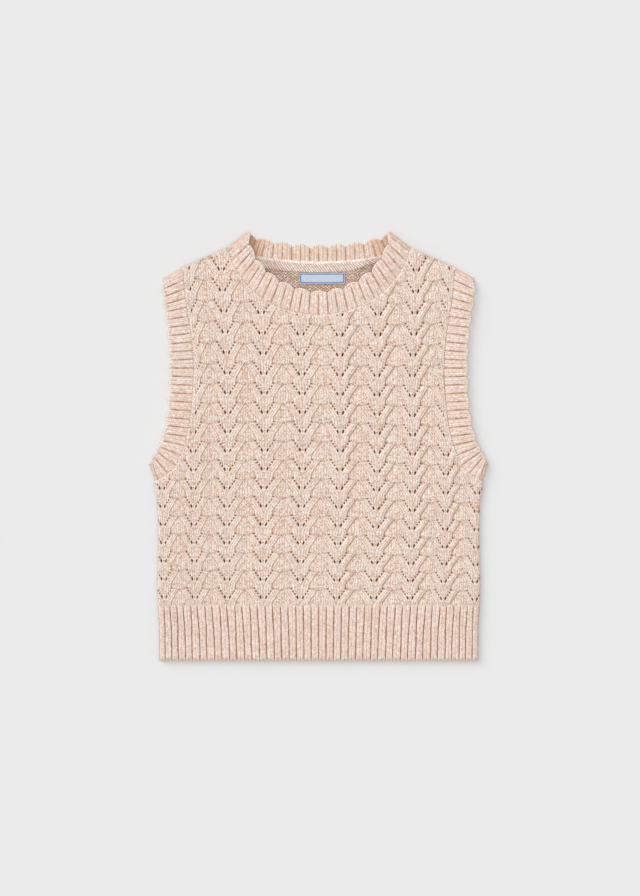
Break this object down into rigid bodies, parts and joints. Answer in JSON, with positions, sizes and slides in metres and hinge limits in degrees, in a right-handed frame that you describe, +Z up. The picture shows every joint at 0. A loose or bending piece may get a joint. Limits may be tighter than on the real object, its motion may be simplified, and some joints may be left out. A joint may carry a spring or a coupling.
{
  "type": "sweater vest",
  "caption": "Child's round-neck knitted sweater vest laid flat, openwork chevron front, scalloped ribbed neck and armhole bands, deep ribbed hem.",
  "frame": {"origin": "on the surface that the vest lies on, in the middle of its width and of its length", "axes": "+X across the vest to the right as seen from above, which is the wearer's left; +Y from the hem to the neck; +Z up out of the front"},
  "size_m": [0.3394, 0.4307, 0.0078],
  "materials": {
    "lace_knit": "soft marled beige knit in an openwork chevron stitch, matt",
    "rib_knit": "soft marled beige ribbed knit, matt",
    "knit_inside": "inside of the knit, in the shade of the neck, matt",
    "woven_label": "smooth pale woven ribbon with a plain blue border"
  },
  "bodies": {
    "root": {"front_panel": "lace_knit", "front_hem_rib": "rib_knit", "back_panel": "knit_inside", "back_hem_rib": "rib_knit", "neckband": "rib_knit", "armhole_band_left": "rib_knit", "armhole_band_right": "rib_knit", "neck_tape": "knit_inside", "neck_label": "woven_label"}
  },
  "joints": []
}
